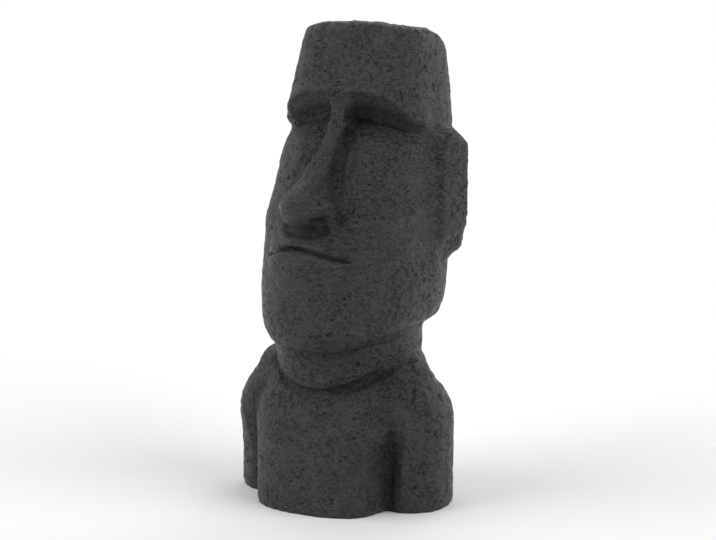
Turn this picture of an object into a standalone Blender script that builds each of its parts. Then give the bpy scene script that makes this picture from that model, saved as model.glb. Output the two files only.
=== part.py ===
"""A garden moai, cast in one piece: a long head leaning back, a neck, and a torso with arms at its sides.

The statue faces -Y, its own left is +X, and it stands on its flat underside at z = 0. The free form is drawn
in centimetres on a figure 56 cm tall, and the whole figure is then brought to the three driving sizes.
"""

from typing import NamedTuple

import bmesh
import bpy
import numpy as np

# Driving sizes of the real statue, in metres.
HEIGHT = 0.56
WIDTH = 0.27
DEPTH = 0.26

# The mesh: its columns on each half, from the middle of the front, past the ear, to the middle of the back.
FACE_COLUMNS = 20
BACK_COLUMNS = 8
MIDDLE_SPACING = 0.42
TEMPLE_SPACING = 1.0
NAPE_SPACING = 2.6
OUTLINE_SAMPLES = 400


class Section(NamedTuple):
    """One cross-section of the block, and the number of mesh rows up to the next one.

    front, side and back are its heights at the middle of the front, at the widest points and at the middle
    of the back. half is the half width, face and rear are the y of the front and the back, and widest is the
    y where it is widest. front_square and rear_square are the powers of the two half outlines: 2 is round,
    4 is boxy. arch is the power by which the front edge drops or climbs from its middle to its sides.
    """

    rows: int
    front: float
    side: float
    back: float
    half: float
    face: float
    widest: float
    rear: float
    front_square: float
    rear_square: float
    arch: float = 2.0


BLOCK = {
    "underside": Section(1, 0.0, 0.0, 0.0, 9.5, -11.25, 0.0, 9.2, 2.5, 2.6),
    "foot edge": Section(1, 0.12, 0.12, 0.12, 9.7, -11.45, 0.0, 9.4, 2.5, 2.6),
    "foot": Section(4, 0.5, 0.5, 0.5, 9.8, -11.6, 0.0, 9.5, 2.5, 2.6),
    "belly": Section(4, 5.5, 5.5, 5.5, 9.8, -11.5, 0.0, 9.5, 2.5, 2.6),
    "chest": Section(3, 9.8, 10.3, 10.5, 9.8, -11.0, 0.1, 9.3, 2.5, 2.6),
    "shoulder": Section(2, 12.4, 14.6, 14.8, 8.9, -9.2, 0.3, 8.8, 2.4, 2.6),
    "neck foot": Section(1, 13.7, 17.0, 17.2, 7.9, -7.6, 0.5, 8.1, 2.3, 2.5),
    "collar": Section(2, 14.3, 17.6, 17.9, 8.0, -8.4, 0.5, 8.15, 2.3, 2.5),
    "neck": Section(2, 16.8, 19.4, 19.6, 8.0, -8.4, 0.6, 8.2, 2.3, 2.5),
    "under jaw": Section(1, 18.3, 20.8, 20.8, 8.2, -8.5, 0.8, 8.4, 2.3, 2.6),
    "jaw edge": Section(3, 18.8, 21.3, 21.4, 9.0, -10.3, 1.0, 9.8, 2.2, 3.0, 2.4),
    "chin": Section(4, 21.3, 23.4, 23.6, 9.65, -11.9, 1.2, 10.6, 2.0, 3.2),
    "lower face": Section(3, 25.5, 26.6, 27.0, 9.75, -11.8, 1.5, 10.95, 2.0, 3.3),
    "under lip": Section(2, 29.2, 29.4, 29.6, 9.75, -11.3, 1.8, 11.2, 2.0, 3.4),
    "lower lip": Section(1, 30.45, 30.55, 30.7, 9.75, -11.1, 1.9, 11.3, 2.0, 3.5),
    "mouth": Section(1, 30.95, 31.05, 31.1, 9.7, -11.0, 2.0, 11.34, 2.0, 3.5),
    "upper lip": Section(2, 31.45, 31.55, 31.6, 9.7, -10.8, 2.0, 11.38, 2.0, 3.5),
    "lip top": Section(2, 32.7, 32.8, 32.8, 9.65, -10.0, 2.1, 11.48, 2.2, 3.6),
    "nose foot": Section(4, 33.8, 33.9, 33.9, 9.6, -9.0, 2.2, 11.57, 2.4, 3.6),
    "nose tip": Section(6, 36.4, 36.4, 36.4, 9.5, -7.0, 2.5, 11.8, 2.4, 3.6),
    "cheek": Section(3, 40.2, 39.9, 39.9, 9.35, -5.2, 3.0, 12.1, 2.3, 3.6),
    "upper cheek": Section(2, 42.6, 41.9, 42.0, 9.2, -3.2, 3.4, 12.3, 2.4, 3.6),
    "eye crease": Section(3, 44.7, 43.1, 43.3, 9.1, 0.3, 3.8, 12.42, 3.0, 3.6),
    "brow edge": Section(2, 48.0, 44.0, 44.8, 9.0, -2.4, 4.0, 12.56, 3.2, 3.6, 4.2),
    "forehead": Section(5, 49.6, 46.5, 46.8, 8.7, -2.0, 4.3, 12.72, 3.2, 3.6, 3.0),
    "crown edge": Section(1, 54.95, 54.05, 51.6, 7.7, 0.0, 5.4, 12.9, 3.2, 3.6, 2.6),
    "crown round": Section(1, 55.65, 54.8, 52.4, 7.4, 0.5, 5.6, 12.5, 3.2, 3.6, 2.6),
    "crown": Section(0, 55.85, 55.1, 52.8, 6.8, 1.2, 5.8, 11.9, 3.0, 3.4, 2.6),
}
CROWN_RINGS = (0.78, 0.52, 0.26)
CROWN_RISE = 0.15

# The arms, as upright elliptical columns that lean inwards to the shoulders and merge into them.
ARM_X = 9.75
ARM_Y = -0.7
ARM_HALF_WIDTH = 3.6
ARM_HALF_DEPTH = 5.3
ARM_TOP = 18.0
ARM_LEAN_FROM = 9.5
SHOULDER_INWARD = 3.65
SHOULDER_FORWARD = 0.6
SHOULDER_NARROWER = 0.9
SHOULDER_SHALLOWER = 3.4
SHOULDER_CURVE = 1.7
ARM_GROOVE_SOFT = 0.8
ARM_BACK_SOFT = 1.6
ARM_SHOULDER_SOFT = 5.0
SHOULDER_TOP_SOFT = 1.2
FOOT_ROUND = 0.45
GROOVE_X = 8.7
GROOVE_HALF_WIDTH = 1.1
GROOVE_DEPTH = 0.9
GROOVE_TOP = 10.0

# The nose: a ridge that swings forward from the bridge to a ball at the tip, with a smaller ball each side.
BRIDGE_HEIGHT = 45.8
BRIDGE_Y = -2.4
NOSE_TIP_HEIGHT = 35.4
NOSE_TIP_Y = -13.0
NOSE_SWING = 1.5
BRIDGE_HALF_WIDTH = 1.45
NOSE_TIP_HALF_WIDTH = 2.3
NOSE_BALL = (0.0, -10.3, 35.3)
NOSE_BALL_RADII = (2.5, 2.5, 2.35)
WING_BALL = (2.35, -8.2, 34.7)
WING_BALL_RADII = (1.35, 1.8, 1.7)
NOSE_BALL_FALL = 1.2
NOSE_SOFT = 0.7

# The mouth: lips that jut forward, parted by one line that turns down at its ends.
MOUTH_HEIGHT = 30.95
MOUTH_HALF_WIDTH = 5.0
MOUTH_DROP = 1.6
MOUTH_BEND_REACH = 3.0
MOUTH_LINE_DEPTH = 0.75
MOUTH_LINE_HALF_HEIGHT = 0.25
LIP_RISE = 1.5
UPPER_LIP_HEIGHT = 1.4
LOWER_LIP_HEIGHT = 3.2

# The ears: long slabs that stand out further towards the back, with rounded ends.
EAR_TOP = 44.2
EAR_BOTTOM = 27.4
EAR_FRONT_Y = 3.2
EAR_BACK_Y = 8.5
EAR_EDGE = 0.7
EAR_FRONT_X = 10.3
EAR_BACK_X = 11.9
EAR_END_ROUND = 2.0
EAR_OUTLINE = 4.0
EAR_EDGE_RISE = 0.45
EAR_COLUMNS_Y = (
    EAR_FRONT_Y,
    EAR_FRONT_Y + EAR_EDGE,
    EAR_FRONT_Y + 0.38 * (EAR_BACK_Y - EAR_FRONT_Y),
    EAR_FRONT_Y + 0.62 * (EAR_BACK_Y - EAR_FRONT_Y),
    EAR_BACK_Y - EAR_EDGE,
    EAR_BACK_Y,
)
EAR_REACH_OF_BACK = 0.82


def ramp(value, low, high):
    """0 up to low, 1 from high, and a smooth rise between them."""
    share = np.clip((value - low) / (high - low), 0.0, 1.0)
    return share * share * (3.0 - 2.0 * share)


def soft_max(first, second, width):
    """The larger of two values, with the corner between them rounded over width."""
    overlap = np.clip(1.0 - np.abs(first - second) / width, 0.0, 1.0)
    return np.maximum(first, second) + overlap * overlap * width / 4.0


def plateau(distance):
    """A flat-topped mound: 1 in the middle, a half at distance 1, and 0 far away."""
    return 1.0 / (1.0 + np.abs(distance) ** 5)


def smooth_through(values, places):
    """A smooth curve through values at 0, 1, 2 and so on that never overshoots them, read at places."""
    values = np.asarray(values, float)
    steps = np.diff(values)
    slopes = np.zeros(len(values))
    before, after = steps[:-1], steps[1:]
    same_way = before * after > 0
    slopes[1:-1][same_way] = 2.0 * before[same_way] * after[same_way] / (before + after)[same_way]
    slopes[0], slopes[-1] = steps[0], steps[-1]
    low = np.clip(np.floor(places).astype(int), 0, len(values) - 2)
    t = places - low
    rise = values[low + 1] - values[low]
    start, end = slopes[low], slopes[low + 1]
    return values[low] + t * (start + t * (3.0 * rise - 2.0 * start - end + t * (start + end - 2.0 * rise)))


def row_sections():
    """The cross-section of every mesh row, from the underside to the crown."""
    stations = list(BLOCK.values())
    places = []
    for number, station in enumerate(stations[:-1]):
        places += [number + step / station.rows for step in range(station.rows)]
    places.append(len(stations) - 1)
    places = np.array(places, float)
    columns = {
        field: smooth_through([getattr(station, field) for station in stations], places)
        for field in Section._fields
        if field != "rows"
    }
    return [Section(1, **{field: columns[field][row] for field in columns}) for row in range(len(places))]


def half_outline(section):
    """Points of the right half of a section, from the middle of the front to the middle of the back."""
    angle = np.linspace(0.0, np.pi, OUTLINE_SAMPLES)
    across, along = np.sin(angle), -np.cos(angle)
    is_front = along < 0
    reach = np.where(is_front, section.widest - section.face, section.rear - section.widest)
    power = np.where(is_front, section.front_square, section.rear_square)
    radius = ((across / section.half) ** power + (np.abs(along) / reach) ** power) ** (-1.0 / power)
    return radius * across, section.widest + radius * along


def spaced(start, end, count, first, last):
    """Places from start up to end in count steps, which change evenly from first to last in proportion."""
    steps = np.linspace(first, last, count)
    return start + (end - start) * np.cumsum(steps) / steps.sum()


def spaced_columns(x, y):
    """The outline again at the mesh's columns, which lie closest on the face and on the ears' edges.

    Where the section is shallower than the ear's place, as at the neck, the ear's columns move forward.
    """
    length = np.concatenate([[0.0], np.cumsum(np.hypot(np.diff(x), np.diff(y)))])
    forward = min(1.0, EAR_REACH_OF_BACK * y[-1] / EAR_BACK_Y)
    ear = np.interp(np.array(EAR_COLUMNS_Y) * forward, y, length)
    wanted = np.concatenate([
        [0.0],
        spaced(0.0, ear[0], FACE_COLUMNS, MIDDLE_SPACING, TEMPLE_SPACING),
        ear[1:],
        spaced(ear[-1], length[-1], BACK_COLUMNS, TEMPLE_SPACING, NAPE_SPACING),
    ])
    return np.interp(wanted, length, x), np.interp(wanted, length, y)


def ring_heights(section, x, y):
    """A section's height at each point: it may arch over the front and fall or rise to the back."""
    front_share = np.abs(x / section.half) ** section.arch
    back_share = np.clip((y - section.widest) / (section.rear - section.widest), 0.0, 1.0) ** 1.15
    front_height = section.front + (section.side - section.front) * front_share
    back_height = section.side + (section.back - section.side) * back_share
    return np.where(y < section.widest, front_height, back_height)


def block_grid():
    """The bare block as arrays x, y and z: a row for each section and a column for each place round it."""
    rows = []
    for section in row_sections():
        x, y = spaced_columns(*half_outline(section))
        z = ring_heights(section, x, y)
        # The right half runs front to back, and the left half is its mirror image on the way back.
        rows.append((
            np.concatenate([x, -x[-2:0:-1]]),
            np.concatenate([y, y[-2:0:-1]]),
            np.concatenate([z, z[-2:0:-1]]),
        ))
    return (np.array(axis) for axis in zip(*rows))


def groove_depth(x, y, z):
    """How deep the groove between arm and belly is, which fades out towards the shoulder."""
    across = np.exp(-(((np.abs(x) - GROOVE_X) / GROOVE_HALF_WIDTH) ** 2))
    return GROOVE_DEPTH * across * ramp(-y, 2.0, 4.0) * (1.0 - ramp(z, 0.5 * GROOVE_TOP, GROOVE_TOP))


def add_arms(x, y, z):
    """Swells the torso outwards to an upright column on each side, with a groove between arm and belly."""
    climb = np.clip((z - ARM_LEAN_FROM) / (ARM_TOP - ARM_LEAN_FROM), 0.0, 1.0) ** SHOULDER_CURVE
    foot = FOOT_ROUND * (1.0 - np.sqrt(1.0 - (1.0 - np.clip(z / FOOT_ROUND, 0.0, 1.0)) ** 2))
    half_width = ARM_HALF_WIDTH - SHOULDER_NARROWER * climb - foot
    half_depth = ARM_HALF_DEPTH - SHOULDER_SHALLOWER * climb - foot
    centre_x, centre_y = ARM_X - SHOULDER_INWARD * climb, ARM_Y - SHOULDER_FORWARD * climb
    # Where the line from the statue's axis through the point leaves the arm's ellipse.
    radius = np.hypot(x, y) + 1e-9
    along_x, along_y = np.abs(x) / radius, y / radius
    a = (along_x / half_width) ** 2 + (along_y / half_depth) ** 2
    b = along_x * centre_x / half_width**2 + along_y * centre_y / half_depth**2
    c = (centre_x / half_width) ** 2 + (centre_y / half_depth) ** 2 - 1.0
    inside = b * b - a * c
    arm = (b + np.sqrt(np.maximum(inside, 0.0)) - 2.0 * np.sqrt(np.maximum(-inside, 0.0))) / a
    low = ARM_GROOVE_SOFT + (ARM_BACK_SOFT - ARM_GROOVE_SOFT) * ramp(y, 0.0, 4.0)
    softness = low + (ARM_SHOULDER_SOFT - low) * ramp(z, 2.0, 12.0)
    softness = softness + (SHOULDER_TOP_SOFT - softness) * ramp(z, 12.5, 16.0)
    merged = soft_max(radius, arm, softness) - groove_depth(x, y, z)
    share = 1.0 + (merged / radius - 1.0) * (1.0 - ramp(z, ARM_TOP - 1.0, ARM_TOP))
    return x * share, y * share, z


def ball_front(x, z, centre, radii):
    """The y of the front of an ellipsoid, falling back steeply outside it."""
    across = ((x - centre[0]) / radii[0]) ** 2 + ((z - centre[2]) / radii[2]) ** 2
    inside, outside = np.clip(1.0 - across, 0.0, 1.0), np.clip(across - 1.0, 0.0, 9.0)
    return centre[1] - radii[1] * (np.sqrt(inside) - NOSE_BALL_FALL * outside)


def nose_front(x, z, face_y):
    """The y of the face with the nose on it."""
    down = np.clip((BRIDGE_HEIGHT - z) / (BRIDGE_HEIGHT - NOSE_TIP_HEIGHT), 0.0, 1.0)
    ridge = BRIDGE_Y + (NOSE_TIP_Y - BRIDGE_Y) * down**NOSE_SWING
    half_width = BRIDGE_HALF_WIDTH + (NOSE_TIP_HALF_WIDTH - BRIDGE_HALF_WIDTH) * ramp(down, 0.3, 1.0)
    fade = (1.0 - ramp(z - BRIDGE_HEIGHT, 0.0, 2.2)) * ramp(z - NOSE_TIP_HEIGHT, 0.0, 2.0)
    ridge = face_y + np.minimum(ridge - face_y, 0.0) * plateau(x / half_width) * fade
    tip = ball_front(x, z, NOSE_BALL, NOSE_BALL_RADII)
    wing = ball_front(np.abs(x), z, WING_BALL, WING_BALL_RADII)
    return -soft_max(soft_max(-ridge, -tip, 2.0 * NOSE_SOFT), -wing, NOSE_SOFT)


def lip_rise(x, z):
    """How far the lips stand out, less the line that parts them."""
    from_line = z - MOUTH_HEIGHT
    width_share = np.clip(1.0 - (x / (MOUTH_HALF_WIDTH * 1.06)) ** 4, 0.0, 1.0)
    height = np.where(from_line > 0.0, UPPER_LIP_HEIGHT, LOWER_LIP_HEIGHT)
    lips = LIP_RISE * width_share * np.exp(-((from_line / height) ** 2))
    line = MOUTH_LINE_DEPTH * np.exp(-((from_line / MOUTH_LINE_HALF_HEIGHT) ** 2))
    return lips - line * ramp(MOUTH_HALF_WIDTH * 1.1 - np.abs(x), 0.0, 1.0)


def carve_face(x, y, z):
    """Moves the front of the head forward to the nose and the lips, and turns the ends of the mouth down."""
    is_face = (y < 3.0) & (z > 20.0) & (z < 50.0)
    front = nose_front(x, z, y) - lip_rise(x, z)
    drop = MOUTH_DROP * np.minimum(np.abs(x) / MOUTH_HALF_WIDTH, 1.1) ** 2
    fade = np.exp(-(((z - MOUTH_HEIGHT) / MOUTH_BEND_REACH) ** 2)) * (1.0 - ramp(np.abs(x), 5.0, 9.0))
    return x, np.where(is_face, front, y), np.where(is_face, z - drop * fade, z)


def raise_ears(x, y, z):
    """Moves the sides of the head out to two long ears."""
    along = 2.0 * (z - EAR_BOTTOM) / (EAR_TOP - EAR_BOTTOM) - 1.0
    back_share = (y - EAR_FRONT_Y) / (EAR_BACK_Y - EAR_FRONT_Y)
    out = EAR_FRONT_X + (EAR_BACK_X - EAR_FRONT_X) * np.clip(back_share, 0.0, 1.0)
    # The ends round off towards the head, the lower one more, and more at the back.
    out = out - EAR_END_ROUND * (ramp(along, 0.8, 1.1) + ramp(-along + 0.15 * back_share, 0.55, 1.1))
    outline = np.abs(along) ** EAR_OUTLINE + np.abs(2.0 * back_share - 1.0) ** EAR_OUTLINE
    share = ramp(1.0 - outline, 0.0, EAR_EDGE_RISE)
    return x + np.sign(x) * np.maximum(out - np.abs(x), 0.0) * share, y, z


def to_size(axis, size, centred=True):
    """One coordinate of the whole figure, scaled to its driving size."""
    low, high = axis.min(), axis.max()
    base = (low + high) / 2.0 if centred else low
    return (axis - base) * size / (high - low)


def crown_rings(x, y, z):
    """The shrinking rings that close the top of the head with a low dome, and their common centre."""
    centre = np.array([0.0, y[-1].mean(), z[-1].mean()])
    for share in CROWN_RINGS + (0.0,):
        rise = CROWN_RISE * (1.0 - share**2)
        yield centre[0] + (x[-1] - centre[0]) * share, centre[1] + (y[-1] - centre[1]) * share, (
            centre[2] + (z[-1] - centre[2]) * share + rise)


def join_rings(bm, lower, upper):
    """Lays one row of four-sided faces between two rings of as many points."""
    for column in range(len(lower)):
        after = (column + 1) % len(lower)
        bm.faces.new((lower[column], lower[after], upper[after], upper[column]))


def build_statue():
    """The whole statue as one closed mesh object."""
    x, y, z = block_grid()
    x, y, z = add_arms(x, y, z)
    x, y, z = carve_face(x, y, z)
    x, y, z = raise_ears(x, y, z)
    crown = list(crown_rings(x, y, z))
    x, y, z = (np.vstack([axis] + [ring[number] for ring in crown]) for number, axis in enumerate((x, y, z)))
    x, y, z = to_size(x, WIDTH), to_size(y, DEPTH), to_size(z, HEIGHT, centred=False)

    bm = bmesh.new()
    rings = [[bm.verts.new(point) for point in zip(*row)] for row in zip(x[:-1], y[:-1], z[:-1])]
    bm.faces.new(rings[0][::-1])
    for lower, upper in zip(rings, rings[1:]):
        join_rings(bm, lower, upper)
    peak = bm.verts.new((x[-1, 0], y[-1, 0], z[-1, 0]))
    for near, far in zip(rings[-1], rings[-1][1:] + rings[-1][:1]):
        bm.faces.new((near, far, peak))
    bmesh.ops.recalc_face_normals(bm, faces=bm.faces)

    mesh = bpy.data.meshes.new("moai_statue")
    bm.to_mesh(mesh)
    bm.free()
    mesh.shade_smooth()
    statue = bpy.data.objects.new("moai_statue", mesh)
    bpy.context.collection.objects.link(statue)
    return statue


def cast_stone():
    """Dark grey cast stone: matt, with a little sheen from its paint."""
    material = bpy.data.materials.new("cast_stone")
    material.use_nodes = True
    shader = material.node_tree.nodes["Principled BSDF"]
    shader.inputs["Base Color"].default_value = (0.045, 0.044, 0.046, 1.0)
    shader.inputs["Roughness"].default_value = 0.62
    shader.inputs["Metallic"].default_value = 0.0
    return material


for old in list(bpy.data.objects):
    bpy.data.objects.remove(old)
build_statue().data.materials.append(cast_stone())
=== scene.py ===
"""A garden moai: one hollow casting in magnesium oxide cement, painted matt anthracite grey."""

import itertools
import math

import bpy
import numpy as np
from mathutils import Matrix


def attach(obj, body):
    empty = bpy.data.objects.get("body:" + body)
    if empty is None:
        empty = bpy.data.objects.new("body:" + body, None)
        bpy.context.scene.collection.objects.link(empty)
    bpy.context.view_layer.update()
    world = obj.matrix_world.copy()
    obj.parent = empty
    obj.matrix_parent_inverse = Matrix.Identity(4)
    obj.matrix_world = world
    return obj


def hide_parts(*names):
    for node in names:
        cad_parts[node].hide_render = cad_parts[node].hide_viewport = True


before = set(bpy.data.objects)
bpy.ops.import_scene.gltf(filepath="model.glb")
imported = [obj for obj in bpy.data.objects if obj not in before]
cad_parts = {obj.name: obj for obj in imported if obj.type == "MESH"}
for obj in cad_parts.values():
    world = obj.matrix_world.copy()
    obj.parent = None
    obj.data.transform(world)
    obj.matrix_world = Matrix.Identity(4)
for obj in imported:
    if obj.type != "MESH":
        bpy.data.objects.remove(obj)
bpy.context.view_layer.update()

# ---------------------------------------------------------------------------------------------------
# The casting. One hollow shell, cast in a rubber mould that was taken from a carved original. It starts
# as a copy of the CAD solid, cut into cells that are fine enough to carve. Sizes here are in metres.

SAME_PLACE = 1e-5
CARVING_CELL = 0.0011
SMOOTHING = 20
EAR_SMOOTHING = 90
EARS_OUT_FROM = 0.100
EARS_UP_FROM = 0.26


def pick_only(obj):
    """Selects one object alone, so that the operators act on nothing else."""
    bpy.ops.object.select_all(action="DESELECT")
    obj.select_set(True)
    bpy.context.view_layer.objects.active = obj


def finish_modifier(obj, kind, **settings):
    """Adds a modifier with its settings and applies it."""
    pick_only(obj)
    modifier = obj.modifiers.new(kind.title(), kind)
    for name, value in settings.items():
        setattr(modifier, name, value)
    bpy.ops.object.modifier_apply(modifier=modifier.name)


def points_of(mesh, what="co"):
    """A mesh's points, or their normals, as rows of x, y and z."""
    values = np.empty(3 * len(mesh.vertices))
    mesh.vertices.foreach_get(what, values)
    return values.reshape(-1, 3)


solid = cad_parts["moai_statue"]
casting = bpy.data.objects.new("cast_moai", solid.data.copy())
bpy.context.collection.objects.link(casting)
casting.data.materials.clear()
pick_only(casting)
bpy.ops.mesh.customdata_custom_splitnormals_clear()
bpy.ops.object.mode_set(mode="EDIT")
bpy.ops.mesh.select_all(action="SELECT")
bpy.ops.mesh.remove_doubles(threshold=SAME_PLACE)
bpy.ops.object.mode_set(mode="OBJECT")

# Smoothing the cells rounds the corners between the solid's flat faces. The ears were rubbed rounder still.
finish_modifier(casting, "REMESH", mode="VOXEL", voxel_size=CARVING_CELL)
finish_modifier(casting, "SMOOTH", factor=0.5, iterations=SMOOTHING)
places = points_of(casting.data)
ear_points = np.where((np.abs(places[:, 0]) > EARS_OUT_FROM) & (places[:, 2] > EARS_UP_FROM))[0]
casting.vertex_groups.new(name="ears").add(ear_points.tolist(), 1.0, "REPLACE")
finish_modifier(casting, "SMOOTH", factor=0.5, iterations=EAR_SMOOTHING, vertex_group="ears")
casting.vertex_groups.clear()

# ---------------------------------------------------------------------------------------------------
# The carving. Creases, folds and ridges that the carver cut after roughing out the block. Each one is a
# stroke of a round gouge along a line, pressed in or built up along the skin. The places, widths and
# depths are in centimetres, from here to the last cuts.

CM = 100.0

skin = points_of(casting.data) * CM
outward = points_of(casting.data, "normal")


def distance_to_line(points, line):
    """Each point's distance to a line of straight pieces, and how far along the line its foot is, 0 to 1."""
    nearest = np.full(len(points), np.inf)
    along = np.zeros(len(points))
    pieces = len(line) - 1
    for number in range(pieces):
        start, piece = line[number], line[number + 1] - line[number]
        share = np.clip((points - start) @ piece / (piece @ piece), 0.0, 1.0)
        away = np.linalg.norm(points - start - share[:, None] * piece, axis=1)
        closer = away < nearest
        nearest[closer] = away[closer]
        along[closer] = (number + share[closer]) / pieces
    return nearest, along


def curve_through(points, steps=6):
    """A smooth line through the points."""
    points = np.array(points, float)
    padded = np.vstack([2 * points[0] - points[1], points, 2 * points[-1] - points[-2]])
    smooth = []
    for a, b, c, d in zip(padded, padded[1:], padded[2:], padded[3:]):
        for t in np.arange(steps) / steps:
            bend = 2 * a - 5 * b + 4 * c - d + t * (3 * (b - c) + d - a)
            smooth.append(b + 0.5 * t * (c - a + t * bend))
    return np.array(smooth + [points[-1]])


def across(half):
    """A line right over the middle of the face, from the half of it on the statue's left."""
    return [(-x, y, z) for x, y, z in half[:0:-1]] + half


STROKE_END = 0.7  # below 1, a stroke is nearly at its full depth soon after its end


def gouge(line, width, depth, ends=0.15, mirrored=True):
    """Presses the skin in along a line, or builds it up where depth is negative.

    The stroke runs out at both ends, over that share of its length. Beyond three widths nothing moves.
    """
    moved = np.zeros(len(skin))
    for side in (1.0, -1.0) if mirrored else (1.0,):
        path = curve_through(line) * (side, 1.0, 1.0)
        low, high = path.min(0) - 3.0 * width, path.max(0) + 3.0 * width
        near = np.where(((skin > low) & (skin < high)).all(1))[0]
        away, along = distance_to_line(skin[near], path)
        taper = np.clip(np.minimum(along, 1.0 - along) / ends, 0.0, 1.0) ** STROKE_END if ends else 1.0
        cut = depth * np.exp(-((away / width) ** 2)) * taper
        strongest = np.abs(cut) > np.abs(moved[near])
        moved[near[strongest]] = cut[strongest]
    skin[:] = skin - outward * moved[:, None]


def mound(points, centre, radii):
    """1 at the centre, falling to 0 outside an ellipsoid."""
    return np.exp(-((((points - centre) / radii) ** 2).sum(1)))


def press(centre, radii, move):
    """Moves the skin round a place and its mirror image, most at the middle. A move to +x is outwards."""
    for side in (1.0, -1.0):
        share = mound(skin, np.array(centre) * (side, 1.0, 1.0), radii)
        skin[:] = skin + share[:, None] * np.array(move) * (side, 1.0, 1.0)


# The brow is undercut above the eye, and has a crisp lower edge and a corner that stands out.
gouge([(1.7, -1.6, 45.3), (2.6, -0.8, 45.5), (4.2, -0.6, 45.3), (6.0, -0.1, 44.8), (7.4, 0.6, 44.1)],
      width=0.8, depth=0.15)
gouge([(0.0, -2.5, 48.3), (2.4, -2.4, 48.3), (4.3, -2.3, 48.1), (6.3, -1.8, 47.4), (7.5, -1.1, 46.4),
       (8.3, 0.8, 44.2)], width=0.4, depth=-0.18)
press((8.8, 1.8, 44.3), radii=(0.9, 1.3, 1.1), move=(0.35, -0.30, 0.0))
# The eyelid swells below it.
gouge([(2.8, -0.9, 43.3), (4.4, -0.4, 43.1), (6.6, 0.3, 42.4)], width=0.8, depth=-0.25)
# A wide hollow runs down beside the nose, with a sharper one at the nose's foot that goes round its wing.
gouge([(1.7, -2.3, 43.9), (1.9, -3.9, 42.1), (2.1, -5.4, 40.6), (2.6, -6.8, 38.8), (3.4, -7.8, 37.1),
       (4.1, -8.1, 35.6)], width=0.9, depth=0.60)
gouge([(1.5, -1.9, 44.3), (1.7, -3.2, 43.0), (1.9, -4.6, 41.7), (2.0, -5.7, 40.6), (2.4, -6.9, 38.8),
       (3.1, -8.0, 37.1), (3.8, -8.3, 35.6), (4.0, -8.5, 34.4), (3.7, -9.0, 33.4)], width=0.38, depth=0.55)
# Outside it a shallow hollow and a fine ridge run down to the cheek.
gouge([(2.9, -3.5, 42.4), (3.3, -4.6, 40.9), (3.6, -5.9, 38.8), (4.3, -6.9, 37.1)], width=0.4, depth=0.18)
gouge([(2.3, -3.3, 42.4), (2.6, -4.7, 40.9), (2.8, -6.3, 38.8), (3.4, -7.5, 37.1), (4.3, -7.7, 35.8),
       (4.9, -7.8, 34.6)], width=0.2, depth=-0.28)
# The nose's flat bridge has a crisp edge.
gouge([(1.4, -1.5, 44.9), (1.2, -3.0, 43.8), (1.3, -5.0, 41.8), (1.5, -6.8, 39.9), (1.8, -9.2, 37.9)],
      width=0.35, depth=-0.12)
# The nose's wings swell out, with a ridge over each. Below them the nose is cut back to the upper lip.
press((2.8, -9.9, 35.5), radii=(1.0, 1.2, 0.8), move=(0.40, -0.30, 0.10))
gouge([(1.5, -10.8, 36.9), (2.4, -10.3, 36.5), (3.1, -9.6, 35.7), (3.4, -9.2, 34.7)],
      width=0.35, depth=-0.14, ends=0.3)
gouge(across([(0.0, -11.1, 32.9), (1.5, -10.8, 32.8), (3.1, -9.7, 33.0)]),
      width=0.58, depth=0.72, ends=0.3, mirrored=False)
# The lips have a soft fold above the line that parts them, and another below it.
gouge(across([(0.0, -12.1, 31.5), (1.9, -11.9, 31.1), (3.2, -11.3, 30.7), (4.4, -10.0, 30.2)]),
      width=0.30, depth=-0.10, mirrored=False)
gouge(across([(0.0, -12.2, 30.3), (1.9, -12.0, 30.0), (4.4, -10.1, 29.2)]),
      width=0.40, depth=-0.10, mirrored=False)
# The ear is a long slab that is full at its middle. The valley in front of it is filled to be shallow.
press((9.9, 3.1, 36.0), radii=(1.5, 1.2, 7.0), move=(0.65, -0.10, 0.0))
gouge([(10.7, 5.6, 41.2), (11.0, 5.5, 38.0), (11.0, 5.3, 34.0), (10.8, 5.3, 30.4)],
      width=1.4, depth=-0.25, ends=0.3)
press((10.9, 7.2, 29.2), radii=(1.4, 2.0, 1.5), move=(0.45, 0.1, -0.45))
press((11.5, 7.6, 31.4), radii=(1.2, 2.0, 1.2), move=(-0.25, 0.0, 0.0))
press((11.6, 7.6, 42.9), radii=(0.9, 2.0, 0.9), move=(-0.35, 0.0, -0.10))
# There is a fold under the jaw, and one under the collar that deepens towards the shoulder.
gouge([(1.2, -10.8, 19.2), (3.4, -8.1, 18.4), (5.7, -6.6, 19.2), (7.9, -2.7, 19.9), (8.9, -0.8, 21.2)],
      width=0.3, depth=0.18)
gouge([(2.5, -7.7, 13.9), (4.6, -7.0, 14.5), (6.8, -4.9, 15.7), (9.0, -2.2, 16.9), (9.6, -0.4, 17.2)],
      width=0.5, depth=0.50, ends=0.3)
press((9.8, 0.0, 16.0), radii=(1.5, 3.0, 1.5), move=(0.35, 0.0, 0.30))
# The grooves that part the arms from the chest run down past the foot. Each is a narrow cut in a wide one.
for groove_top, width, depth in ((12.2, 0.50, 0.50), (12.5, 1.2, 0.22)):
    gouge([(9.4, -6.6, groove_top), (9.2, -6.5, 8.8), (8.8, -6.0, 5.0), (8.7, -5.9, 1.4), (8.7, -5.9, -1.5)],
          width, depth, ends=0.4)

# ---------------------------------------------------------------------------------------------------
# The rough skin. The mould kept the original's chisel marks and lumps, and air bubbles in the wet cement
# left small round pits all over.

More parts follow.
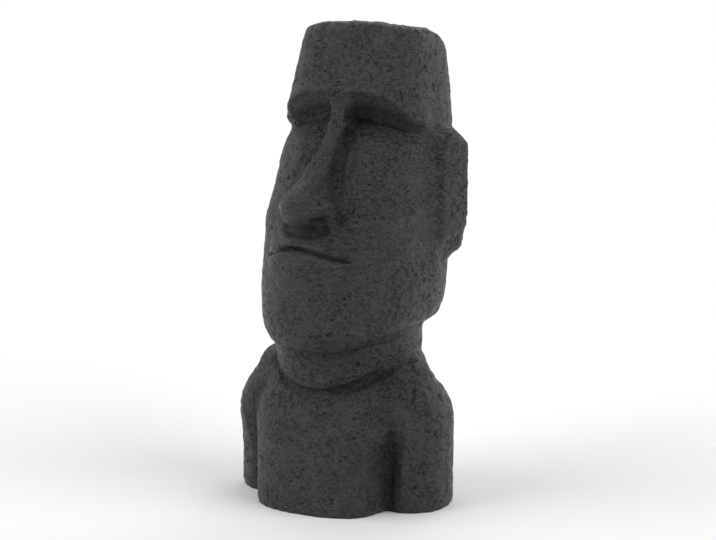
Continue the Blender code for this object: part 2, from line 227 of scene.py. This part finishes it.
WAVE_HEIGHT = 0.045
WAVE_WIDTH = 3.4
LUMPS = ((0.05, 1.1, 2), (0.06, 0.42, 7))  # height, width and seed of each layer
RUBBED_AWAY = 0.75
DASH_DEPTH = 0.20
COMB_DEPTH = 0.06
PITS = 2000
PIT_RADIUS = (0.09, 0.20)
PIT_DEPTH = 0.65  # as a share of the radius
PIT_CLUSTER = 2.6
PIT_CELL = 0.4  # twice the widest radius
SMOOTHER_PLACES = (  # centre and radii: the nose, the lips, the brow's underside, the cut under the nose
    ((0.0, -12.0, 35.3), (3.2, 4.0, 2.6)),
    ((0.0, -12.0, 30.9), (5.5, 4.0, 1.3)),
    ((4.6, -0.6, 46.0), (3.6, 2.0, 1.6)),
    ((1.5, -10.6, 33.0), (3.5, 2.0, 1.0)),
)


def grain(points, seed):
    """Smooth random heights from -1 to 1 that change once in each unit of length."""
    heights = np.random.default_rng(seed).uniform(-1.0, 1.0, (64, 64, 64))
    cell = np.floor(points).astype(int)
    share = points - cell
    share = share * share * (3.0 - 2.0 * share)
    total = np.zeros(len(points))
    for corner in itertools.product((0, 1), repeat=3):
        weight = np.prod(np.where(corner, share, 1.0 - share), axis=1)
        total += weight * heights[tuple(((cell + corner) % 64).T)]
    return total


def turned(points, degrees_x, degrees_y, stretch):
    """The points in a turned frame, stretched along its own axes."""
    a, b = math.radians(degrees_x), math.radians(degrees_y)
    about_x = np.array([[1, 0, 0], [0, math.cos(a), -math.sin(a)], [0, math.sin(a), math.cos(a)]])
    about_y = np.array([[math.cos(b), 0, math.sin(b)], [0, 1, 0], [-math.sin(b), 0, math.cos(b)]])
    return (points @ (about_x @ about_y)) / stretch


folded = np.hstack([np.abs(skin[:, :1]), skin[:, 1:]])
rubbed = sum(mound(folded, centre, radii) for centre, radii in SMOOTHER_PLACES)
rough = 1.0 - RUBBED_AWAY * np.clip(rubbed, 0.0, 1.0)

# Wide waves come first, then lumps. Their edges wander, because they are read at wobbling places.
wobble = 0.5 * np.stack([grain(skin / 0.9, seed) for seed in (11, 12, 13)], axis=1)
height = WAVE_HEIGHT * grain(skin / WAVE_WIDTH, 1)
for lump_height, lump_width, seed in LUMPS:
    height += lump_height * grain((skin + wobble) / lump_width, seed)

# The chisel left dashes 6 mm long and 2.6 mm wide. They run sideways in some patches and slant in others.
# In the arm grooves it combed the skin up and down instead.
sideways = grain(turned(skin + wobble, 20.0, 12.0, (0.6, 0.6, 0.26)), 3)
slanting = grain(turned(skin + wobble, -30.0, 55.0, (0.55, 0.55, 0.26)), 4)
upright = grain((skin + 0.4 * wobble) / (0.26, 0.26, 1.5), 5)
patch = np.clip(0.5 + 1.6 * grain(skin / 4.0, 6), 0.0, 1.0)
in_groove = np.clip(mound(folded, (8.6, -5.8, 3.0), (1.6, 3.0, 6.0)) * 1.5, 0.0, 1.0)
dash = -np.clip(patch * sideways + (1.0 - patch) * slanting - 0.25, 0.0, 1.0)
height += DASH_DEPTH * dash * (1.0 - in_groove) + COMB_DEPTH * upright * in_groove
skin += outward * (height * rough)[:, None]

# Each pit is a small round hollow. The skin's points are sorted into cells, so that a pit looks only at the
# cells round it.
cells = np.floor(skin / PIT_CELL).astype(int)
order = np.lexsort(cells.T)
sorted_cells = cells[order]
starts = np.where(np.any(np.diff(sorted_cells, axis=0), axis=1))[0] + 1
members = {tuple(sorted_cells[first[0]]): order[first] for first in np.split(np.arange(len(order)), starts)}
around = list(itertools.product((-1, 0, 1), repeat=3))
draw = np.random.default_rng(7)
density = np.clip(0.3 + 2.0 * grain(skin / PIT_CLUSTER, 8), 0.02, 1.0) * rough
before = skin.copy()
for pit in draw.choice(len(skin), PITS, replace=False, p=density / density.sum()):
    radius = PIT_RADIUS[0] + (PIT_RADIUS[1] - PIT_RADIUS[0]) * draw.random() ** 2
    cells_near = [tuple(cells[pit] + step) for step in around]
    near = np.concatenate([members[cell] for cell in cells_near if cell in members])
    share = np.linalg.norm(before[near] - before[pit], axis=1) / radius
    depth = PIT_DEPTH * radius * np.sqrt(np.clip(1.0 - share**2, 0.0, 1.0))
    skin[near] -= outward[pit] * depth[:, None]

# ---------------------------------------------------------------------------------------------------
# The last cuts. The line between the lips, the creases above the eyes and the nostrils are sharper than
# the rough skin. The foot is flat, because it was cast against a board.

BOARD_DEPTH = 0.25
TRIANGLES = 196000

gouge(across([(0.0, -12.1, 31.0), (1.9, -11.9, 30.6), (3.2, -11.3, 30.2), (4.4, -10.0, 29.7),
              (5.5, -8.9, 29.4)]), width=0.17, depth=0.45, ends=0.06, mirrored=False)
gouge([(1.5, -1.4, 44.9), (2.4, -0.1, 44.6), (4.0, 0.1, 44.3), (6.1, 0.4, 43.9), (7.8, 0.8, 43.5)],
      width=0.22, depth=0.34)
NOSTRIL = [(1.8, -11.0, 33.9), (2.6, -10.4, 33.9)]
gouge(NOSTRIL, width=0.42, depth=1.0, ends=0)

skin[:, 2] = np.where(skin[:, 2] < BOARD_DEPTH, 0.0, skin[:, 2])
casting.data.vertices.foreach_set("co", (skin / CM).ravel())
casting.data.update()
drawn_triangles = sum(len(face.vertices) - 2 for face in casting.data.polygons)
finish_modifier(casting, "DECIMATE", ratio=TRIANGLES / drawn_triangles)
casting.data.shade_smooth()

# ---------------------------------------------------------------------------------------------------
# The painted light and shade. Hollows are painted darker as painted shade and high places paler as a painted
# highlight, and some places get painted highlights or painted shade. Each point keeps both as a number from
# 0 to 1, with 0.5 where there is nothing to see.

FULLY_HOLLOW = 0.0004
SPREAD_ROUNDS = 4
# Painted highlights on the forehead's corner, the cheek, the ear and the top of the nose's wing, and painted
# shade over the middle of the face.
PAINTED_LIGHT_AND_SHADE_PLACES = (  # paler or darker by, centre and radii in centimetres
    (0.22, (6.5, -1.0, 51.5), (4.5, 5.0, 5.5)),  # the forehead's corner
    (0.14, (8.5, -1.0, 36.0), (3.5, 4.5, 10.0)),  # the cheek below it
    (-0.22, (-1.5, -9.0, 38.0), (5.5, 6.0, 6.0)),  # the middle of the face
    (0.20, (10.4, 4.5, 38.5), (1.4, 2.0, 3.5)),  # the ear
    (0.15, (2.6, -10.4, 36.4), (0.9, 1.2, 0.8)),  # the top of the nose's wing
)
# Painted shade along the hollow beside the nose, the brow's crease, the cut under the nose and the nostrils.
PAINTED_SHADE_LINES = (  # path in centimetres, darker by, and how far that reaches
    ([(1.4, -1.9, 44.3), (1.6, -4.1, 42.0), (1.8, -6.0, 40.2), (2.4, -7.3, 38.4), (3.3, -8.4, 36.3),
      (3.9, -8.7, 34.6)], 0.36, 0.85),  # beside the nose
    ([(1.6, -1.3, 45.2), (3.0, -0.4, 45.6), (5.0, -0.1, 45.2), (6.6, 0.3, 44.5)], 0.30, 0.85),  # the brow
    ([(0.0, -10.6, 32.9), (1.5, -10.4, 32.9), (2.9, -9.6, 33.0)], 0.45, 0.70),  # under the nose
    (NOSTRIL, 0.45, 0.55),
)


def keep_on_skin(name, values):
    """Gives each point of the casting one number from 0 to 1, which the paint reads."""
    attribute = casting.data.attributes.new(name, "FLOAT", "POINT")
    attribute.data.foreach_set("value", np.clip(values, 0.0, 1.0))


# How hollow each point is sets painted shade in the hollows and a painted highlight on the high places.
points, normals = points_of(casting.data), points_of(casting.data, "normal")
edge_ends = np.empty(2 * len(casting.data.edges), int)
casting.data.edges.foreach_get("vertices", edge_ends)
one, other = edge_ends.reshape(-1, 2).T
neighbours = np.bincount(edge_ends, minlength=len(points))[:, None]
mean = points
for _ in range(SPREAD_ROUNDS):
    total = np.zeros_like(points)
    np.add.at(total, one, mean[other])
    np.add.at(total, other, mean[one])
    mean = 0.5 * mean + 0.5 * total / neighbours
hollow = ((mean - points) * normals).sum(1) / FULLY_HOLLOW
keep_on_skin("hollow", 0.5 + 0.5 * hollow)

paler = sum(change * mound(points * CM, centre, radii) for change, centre, radii in PAINTED_LIGHT_AND_SHADE_PLACES)
for path, darker, reach in PAINTED_SHADE_LINES:
    for side in (1.0, -1.0):
        away, _ = distance_to_line(points * CM, curve_through(path) * (side, 1.0, 1.0))
        paler -= darker * np.exp(-((away / reach) ** 2))
keep_on_skin("bleached", 0.5 + paler)

# ---------------------------------------------------------------------------------------------------
# The paint. Matt anthracite acrylic masonry paint, rolled and brushed over the raw cement. Painted shade
# makes it nearly black in the pits, and a painted highlight makes it a little paler on the high grain. The
# scales below are cells a metre.

PAINT = "#222222"
PAINT_PALE = "#2e2d2e"
# Painted shade in the pits and chisel marks: the paint there is darkened to this share.
PIT_PAINTED_SHADE = 0.70
PIT_CHANCE = 0.86  # a bubble burst where its own lot and the crowd round it add up to more
SHEEN = (0.28, 0.50)  # roughness between the crumbs and on them
RELIEF_DEPTH = 0.0018


def linear(hex_colour):
    """An sRGB hex colour as linear red, green, blue and alpha."""
    parts = [int(hex_colour[first : first + 2], 16) / 255.0 for first in (1, 3, 5)]
    return tuple(p / 12.92 if p <= 0.04045 else ((p + 0.055) / 1.055) ** 2.4 for p in parts) + (1.0,)


def add_node(tree, kind, sockets=(), **settings):
    """Adds a node, makes its settings, and fills its sockets with values or with (node, output) links."""
    node = tree.nodes.new(kind)
    for name, value in settings.items():
        setattr(node, name, value)
    for name, value in dict(sockets).items():
        if isinstance(value, tuple) and isinstance(value[0], bpy.types.Node):
            tree.links.new(value[0].outputs[value[1]], node.inputs[name])
        else:
            node.inputs[name].default_value = value
    return node


paint = bpy.data.materials.new("anthracite_masonry_paint")
paint.use_nodes = True
tree = paint.node_tree
tree.nodes.clear()
place = add_node(tree, "ShaderNodeTexCoord")
painted_shade_by_hollow_there = add_node(tree, "ShaderNodeAttribute", attribute_name="hollow")
painted_light_and_shade_there = add_node(tree, "ShaderNodeAttribute", attribute_name="bleached")

# Between the large chisel marks are finer ones, 4 mm long and 2 mm wide. They run one way in some patches
# of 4 cm and another way in others.
patches = add_node(tree, "ShaderNodeTexNoise", {"Vector": (place, "Object"), "Scale": 24.0, "Detail": 5.0})
fields = []
for rotation in ((0.3, 0.25, 0.2), (0.9, -0.7, 0.5)):
    slant = add_node(tree, "ShaderNodeMapping", {
        "Vector": (place, "Object"), "Rotation": rotation, "Scale": (230.0, 230.0, 560.0)})
    fields.append(add_node(tree, "ShaderNodeTexNoise", {
        "Vector": (slant, "Vector"), "Scale": 1.0, "Detail": 2.0, "Distortion": 0.8}))
sway = add_node(tree, "ShaderNodeMapRange", {"Value": (patches, "Fac"), "From Min": 0.45, "From Max": 0.55})
strokes = add_node(tree, "ShaderNodeMix", {
    "Factor": (sway, "Result"), "A": (fields[0], "Fac"), "B": (fields[1], "Fac")})
dashes = add_node(tree, "ShaderNodeMapRange", {
    "Value": (strokes, "Result"), "From Min": 0.55, "From Max": 0.70})
# Burst air bubbles left fine pits 3 mm wide and 2 mm high, in crowds 3 cm wide. The fine chisel marks are
# deepest in the same crowds.
flat = add_node(tree, "ShaderNodeMapping", {"Vector": (place, "Object"), "Scale": (170.0, 170.0, 290.0)})
bubbles = add_node(tree, "ShaderNodeTexVoronoi", {"Vector": (flat, "Vector"), "Scale": 1.0})
dots = add_node(tree, "ShaderNodeMapRange", {
    "Value": (bubbles, "Distance"), "From Min": 0.34, "From Max": 0.16})
lot = add_node(tree, "ShaderNodeSeparateColor", {"Color": (bubbles, "Color")})
crowd = add_node(tree, "ShaderNodeTexNoise", {"Vector": (place, "Object"), "Scale": 38.0, "Detail": 2.0})
chance = add_node(tree, "ShaderNodeMath", {
    0: (lot, "Red"), 1: 0.5, 2: (crowd, "Fac")}, operation="MULTIPLY_ADD")
chosen = add_node(tree, "ShaderNodeMath", {0: (chance, "Value"), 1: PIT_CHANCE}, operation="GREATER_THAN")
pits = add_node(tree, "ShaderNodeMath", {0: (dots, "Result"), 1: (chosen, "Value")}, operation="MULTIPLY")
chiselled = add_node(tree, "ShaderNodeMapRange", {
    "Value": (crowd, "Fac"), "From Min": 0.42, "From Max": 0.58, "To Min": 0.2, "To Max": 1.0})
marks = add_node(tree, "ShaderNodeMath", {
    0: (dashes, "Result"), 1: (chiselled, "Result")}, operation="MULTIPLY")
dug = add_node(tree, "ShaderNodeMath", {0: (marks, "Value"), 1: (pits, "Value")}, operation="MAXIMUM")
# The sand in the cement is a 1 mm grain, in crumbs of 3 mm.
sand = add_node(tree, "ShaderNodeTexNoise", {"Vector": (place, "Object"), "Scale": 700.0, "Detail": 3.0})
crumb = add_node(tree, "ShaderNodeTexNoise", {"Vector": (place, "Object"), "Scale": 330.0, "Detail": 2.0})

# The film is slightly uneven. Painted shade darkens it where it is dug or hollow, a painted highlight makes
# it paler on high places and on the ridges between the strokes, and the listed places get painted light or
# painted shade.
film = add_node(tree, "ShaderNodeMix", {
    "Factor": (patches, "Fac"), "A": linear(PAINT), "B": linear(PAINT_PALE)}, data_type="RGBA")
shades = [
    add_node(tree, "ShaderNodeMapRange", {"Value": (dug, "Value"), "To Min": 1.0, "To Max": PIT_PAINTED_SHADE}),
    add_node(tree, "ShaderNodeMapRange", {
        "Value": (painted_shade_by_hollow_there, "Fac"), "From Min": 0.3, "From Max": 0.9, "To Min": 1.25, "To Max": 0.7}),
    add_node(tree, "ShaderNodeMapRange", {
        # a painted highlight on the ridges between the strokes
        "Value": (strokes, "Result"), "From Min": 0.46, "From Max": 0.32, "To Min": 1.0, "To Max": 1.2}),
    add_node(tree, "ShaderNodeMapRange", {"Value": (painted_light_and_shade_there, "Fac"), "To Min": 0.4, "To Max": 1.6}),
]
shade = (shades[0], "Result")
for further in shades[1:]:
    both = add_node(tree, "ShaderNodeMath", {0: shade, 1: (further, "Result")}, operation="MULTIPLY")
    shade = (both, "Value")
colour = add_node(tree, "ShaderNodeVectorMath", {0: (film, "Result"), 1: shade}, operation="MULTIPLY")

# The relief adds up from the sand and the crumbs, less the strokes and what is dug.
relief = (sand, "Fac")
for part, output, weight in ((crumb, "Fac", 1.1), (strokes, "Result", -1.5), (dug, "Value", -1.4)):
    both = add_node(tree, "ShaderNodeMath", {
        0: (part, output), 1: weight, 2: relief}, operation="MULTIPLY_ADD")
    relief = (both, "Value")
bump = add_node(tree, "ShaderNodeBump", {"Height": relief, "Strength": 1.0, "Distance": RELIEF_DEPTH})
sheen = add_node(tree, "ShaderNodeMapRange", {
    "Value": (crumb, "Fac"), "From Min": 0.3, "From Max": 0.7, "To Min": SHEEN[0], "To Max": SHEEN[1]})
shader = add_node(tree, "ShaderNodeBsdfPrincipled", {
    "Base Color": (colour, "Vector"), "Roughness": (sheen, "Result"), "Normal": (bump, "Normal"),
    "Metallic": 0.0, "IOR": 1.5})
add_node(tree, "ShaderNodeOutputMaterial", {"Surface": (shader, "BSDF")})
casting.data.materials.append(paint)
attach(casting, "root")
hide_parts("moai_statue")

# ---------------------------------------------------------------------------------------------------
# The studio. A white paper floor that runs out of sight, and wide soft light from five sides, so that the
# statue stands on white with a faint shadow and a pale rim.

FLOOR_SIZE = 120.0
FLOOR_WHITE = "#fcfcfc"
ROOM_LIGHT = 0.15
LIGHTS = {  # degrees round the statue from its front towards its left, degrees up, strength
    "left_softbox": (-48.0, 30.0, 0.56),
    "left_side_softbox": (-95.0, 20.0, 0.15),
    "right_softbox": (92.0, 30.0, 0.58),
    "right_rim_light": (165.0, 30.0, 0.20),
    "left_rim_light": (-150.0, 42.0, 0.26),
}
LIGHT_SPREAD = 55.0
CAMERA_PLACE = (1.07507, -1.84092, 0.63)
CAMERA_TURN = (1.402622, 0.0, 0.523599)
FOCAL_LENGTH = 92.1017
SENSOR_WIDTH = 36.0

bpy.ops.object.select_all(action="DESELECT")
bpy.ops.mesh.primitive_plane_add(size=FLOOR_SIZE, location=(0.0, 0.0, 0.0))
floor = bpy.context.object
floor.name = "studio_floor"
white = bpy.data.materials.new("white_paper")
white.use_nodes = True
white.node_tree.nodes["Principled BSDF"].inputs["Base Color"].default_value = linear(FLOOR_WHITE)
white.node_tree.nodes["Principled BSDF"].inputs["Roughness"].default_value = 0.9
floor.data.materials.append(white)

world = bpy.data.worlds.new("studio")
world.use_nodes = True
world.node_tree.nodes["Background"].inputs["Color"].default_value = (1.0, 1.0, 1.0, 1.0)
world.node_tree.nodes["Background"].inputs["Strength"].default_value = ROOM_LIGHT
bpy.context.scene.world = world
bpy.context.scene.view_settings.view_transform = "Standard"

for name, (round_by, up_by, strength) in LIGHTS.items():
    lamp = bpy.data.lights.new(name, "SUN")
    lamp.energy = strength * math.pi
    lamp.angle = math.radians(LIGHT_SPREAD)
    holder = bpy.data.objects.new(name, lamp)
    bpy.context.collection.objects.link(holder)
    holder.rotation_euler = (math.radians(90.0 - up_by), 0.0, math.radians(round_by))

# The photograph was taken 2.1 m away and 0.63 m up, 30 degrees round to the statue's left.
lens = bpy.data.cameras.new("camera")
lens.lens = FOCAL_LENGTH
lens.sensor_width = SENSOR_WIDTH
lens.clip_end = 100.0
camera = bpy.data.objects.new("camera", lens)
bpy.context.collection.objects.link(camera)
camera.location = CAMERA_PLACE
camera.rotation_euler = CAMERA_TURN
bpy.context.scene.camera = camera
